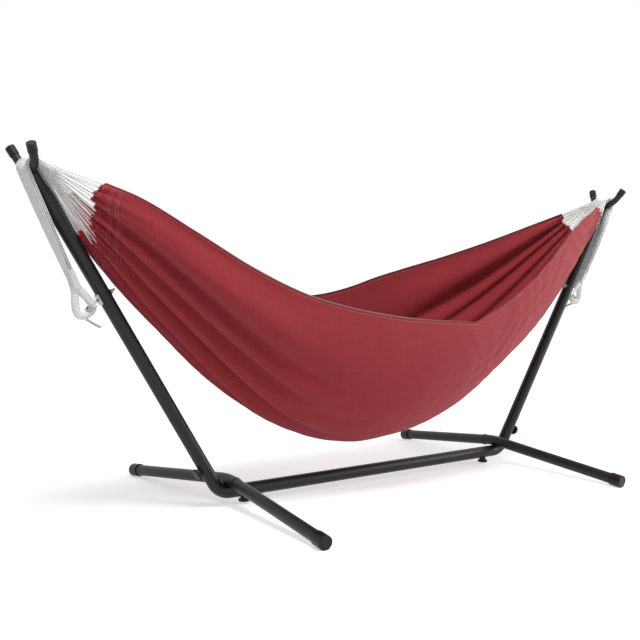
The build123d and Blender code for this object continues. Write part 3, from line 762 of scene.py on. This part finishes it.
# Half the width and half the depth of the neck, and what the binding gains or loses on its way up
NECK_HALF_WIDTH, NECK_WIDENS = 0.0165, 0.003
NECK_HALF_DEPTH, NECK_THINS = 0.0155, 0.005
ACROSS_NECK = np.array((0, 1, 0))

for end_name, end in (("left", -1), ("right", 1)):
    outline = np.array(
        [LOOP_NECK + LOOP_DOWN * down + LOOP_SIDE * side for down, side in LOOP_OUTLINE])
    loop_points, loop_marks = spaced(smooth_route(outline, closed=True), LOOP_STEP)
    turns = round(loop_marks[-1] / BINDING_PITCH)
    binding = wound(loop_points, loop_marks, BINDING_REACH, loop_marks[-1] / turns)
    core = loop_points[::CORE_EVERY]
    neck_up = np.array((SADDLE_CENTRE[0], 0, SADDLE_CENTRE[1])) - LOOP_NECK
    neck_up /= np.linalg.norm(neck_up)
    neck_turns = NECK_BINDING / NECK_PITCH
    neck_points = int(neck_turns * NECK_TURN_POINTS)
    neck_angle = np.linspace(0, TURN * neck_turns, neck_points)[:, None]
    climb = neck_angle / TURN * NECK_PITCH
    taper = climb / NECK_BINDING
    neck_out = np.cross(neck_up, ACROSS_NECK)
    half_wide = NECK_HALF_WIDTH + NECK_WIDENS * taper
    half_deep = NECK_HALF_DEPTH - NECK_THINS * taper
    neck_cord = LOOP_NECK + neck_up * (climb - NECK_BELOW)
    neck_cord = neck_cord + ACROSS_NECK * np.cos(neck_angle) * half_wide
    neck_cord = neck_cord + neck_out * np.sin(neck_angle) * half_deep
    if end == 1:
        binding, core, neck_cord = half_turn(binding), half_turn(core), half_turn(neck_cord)
    bound_loop = tube_piece(
        f"{end_name}_loop_binding", [binding], BINDING_R, 2, white_cotton)
    loop_core = tube_piece(
        f"{end_name}_loop_core", [core], CORE_R, 3, white_cotton, closed=True)
    neck_wrap = tube_piece(
        f"{end_name}_neck_binding", [neck_cord], NECK_CORD_R, 1, white_cotton)
    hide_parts(f"{end_name}_end_loop")
    for piece in (bound_loop, loop_core, neck_wrap):
        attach(piece, "stand")

# Loose ends below each loop: two short lengths of thin greyish cotton cord that hang from
# the bottom of the binding, with bare ends.
TAIL_D = 0.0034
TAIL_STEP = (-0.0022, 0.0, -0.0036)
TAIL_ROUTE = [
    (-1.1740, -0.0318, 0.6504),
    (-1.1730, -0.0425, 0.6486),
    (-1.1645, -0.0510, 0.6415),
    (-1.1510, -0.0550, 0.6330),
    (-1.1375, -0.0535, 0.6275),
]
grey_cord = Finish("grey_cotton_cord", {"Specular IOR Level": 0.2, "Sheen Weight": 0.1})
cord_place = grey_cord.place()
cord_fibre = grey_cord.noise(cord_place, FINE_GRAIN, 3.0)
grey_cord.feed("Base Color", grey_cord.shades(
    cord_fibre, (0.21, 0.205, 0.20, 1), (0.41, 0.40, 0.39, 1)))
grey_cord.feed("Roughness", 0.82 + cord_fibre * 0.12)
grey_cord.relief(cord_fibre, 0.0004, 0.6)
for end_name, end in (("left", -1), ("right", 1)):
    for strand in (0, 1):
        tail_points = np.array(TAIL_ROUTE) + np.array(TAIL_STEP) * strand
        if end == 1:
            tail_points = half_turn(tail_points)
        line = bpy.data.curves.new(f"{end_name}_tail_{strand + 1}", "CURVE")
        line.dimensions = "3D"
        line.bevel_depth = TAIL_D / 2
        line.bevel_resolution = 3
        line.use_fill_caps = True
        spline = line.splines.new("NURBS")
        spline.points.add(len(tail_points) - 1)
        for point, place in zip(spline.points, tail_points):
            point.co = (*place, 1)
        spline.order_u = 3
        spline.use_endpoint_u = True
        spline.resolution_u = 8
        line.materials.append(grey_cord.material)
        tail = bpy.data.objects.new(line.name, line)
        bpy.context.collection.objects.link(tail)
        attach(tail, "stand")
        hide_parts(f"{end_name}_loop_tail")

# Floor and light: a pale floor that runs out of sight, under broad soft lamps.
# To the camera and in reflections the floor glows a little and the air behind it is white,
# so that it reads as a white sweep and still takes the shadows.
FLOOR_SIZE = 60.0
# Where the floor's glow starts to grow, where it is full, and its two levels
GLOW_FROM, GLOW_TO = 1.5, 7.0
GLOW_NEAR = (0.47, 0.47, 0.47, 1)
GLOW_FAR = (0.72, 0.72, 0.72, 1)
AIR_LIGHT = 0.455
WHITE = (1, 1, 1, 1)
SEEN_RAYS = ("Is Camera Ray", "Is Glossy Ray", "Is Transmission Ray")
bpy.ops.object.select_all(action="DESELECT")
bpy.ops.mesh.primitive_plane_add(size=FLOOR_SIZE)
floor = bpy.context.object
floor.name = "studio_floor"


def seen(shading):
    """One for rays from the camera, and for those that reflections and clear things pass on."""
    path = shading.node("ShaderNodeLightPath", {}, {}).socket.node
    camera_ray, glossy_ray, clear_ray = (Signal(shading, path.outputs[name]) for name in SEEN_RAYS)
    seen_rays = camera_ray + glossy_ray + clear_ray
    return shading.node("ShaderNodeMath", {"operation": "MINIMUM"}, {0: seen_rays, 1: 1.0})


floor_paint = Finish("pale_floor", {
    "Base Color": (0.86, 0.86, 0.86, 1), "Roughness": 0.9, "Specular IOR Level": 0.0})
distance = floor_paint.node(
    "ShaderNodeVectorMath", {"operation": "LENGTH"}, {0: floor_paint.place()}, "Value")
far_off = floor_paint.node(
    "ShaderNodeMapRange", {}, {"Value": distance, "From Min": GLOW_FROM, "From Max": GLOW_TO})
glow_colour = floor_paint.shades(far_off, GLOW_NEAR, GLOW_FAR, 0.0, 1.0)
glow = floor_paint.node("ShaderNodeEmission", {}, {"Color": glow_colour, "Strength": 1.0})
lit = Signal(floor_paint, floor_paint.shader.outputs["BSDF"])
both = floor_paint.node("ShaderNodeAddShader", {}, {0: lit, 1: glow})
shown = floor_paint.node("ShaderNodeMixShader", {}, {0: seen(floor_paint), 1: lit, 2: both})
floor_output = floor_paint.tree.nodes["Material Output"]
floor_paint.tree.links.new(shown.socket, floor_output.inputs["Surface"])
floor.data.materials.append(floor_paint.material)

world = bpy.data.worlds.new("studio")
world.use_nodes = True
studio = Shading(world.node_tree)
air = studio.node("ShaderNodeBackground", {}, {"Color": WHITE, "Strength": AIR_LIGHT})
backdrop = studio.node("ShaderNodeBackground", {}, {"Color": WHITE, "Strength": 1.0})
sky = studio.node("ShaderNodeMixShader", {}, {0: seen(studio), 1: air, 2: backdrop})
world.node_tree.links.new(sky.socket, world.node_tree.nodes["World Output"].inputs["Surface"])
bpy.context.scene.world = world

# Each lamp's name, place, aim, size in metres and power in watts
LAMPS = [
    ("key_lamp", (4.8, -2.1, 1.75), (0.2, 0.0, 0.6), 2.8, 140.0),
    ("top_lamp", (-1.4, -1.8, 5.0), (0.2, 0.0, 0.5), 1.8, 140.0),
]
for name, place, aim, size, power in LAMPS:
    lamp = bpy.data.lights.new(name, "AREA")
    lamp.size = size
    lamp.energy = power
    lamp_object = bpy.data.objects.new(name, lamp)
    lamp_object.location = place
    towards = Vector(aim) - Vector(place)
    lamp_object.rotation_euler = towards.to_track_quat("-Z", "Y").to_euler()
    bpy.context.collection.objects.link(lamp_object)

# Camera: at the photograph's viewing angle, a little above the bed and off the left end.
# Its focal length is in pixels of a picture that is 640 pixels wide.
CAMERA_PLACE = (-2.4388, -2.8442, 0.8485)
CAMERA_AZIMUTH = math.radians(-37.354)
CAMERA_ELEVATION = math.radians(3.665)
CAMERA_ROLL = math.radians(0.701)
PHOTO_WIDTH = 640
FOCAL_PIXELS = 1001.3
SENSOR = 36.0
back = Vector((
    math.sin(CAMERA_AZIMUTH) * math.cos(CAMERA_ELEVATION),
    -math.cos(CAMERA_AZIMUTH) * math.cos(CAMERA_ELEVATION),
    math.sin(CAMERA_ELEVATION),
))
level_right = Vector((math.cos(CAMERA_AZIMUTH), math.sin(CAMERA_AZIMUTH), 0))
level_up = back.cross(level_right)
right = level_right * math.cos(CAMERA_ROLL) + level_up * math.sin(CAMERA_ROLL)
up = level_up * math.cos(CAMERA_ROLL) - level_right * math.sin(CAMERA_ROLL)
lens = bpy.data.cameras.new("photo_camera")
lens.sensor_width = SENSOR
lens.lens = FOCAL_PIXELS / PHOTO_WIDTH * SENSOR
camera = bpy.data.objects.new("photo_camera", lens)
turned = Matrix((right, up, back)).transposed().to_4x4()
camera.matrix_world = Matrix.Translation(CAMERA_PLACE) @ turned
bpy.context.collection.objects.link(camera)
bpy.context.scene.camera = camera
bpy.context.scene.view_settings.view_transform = "Standard"
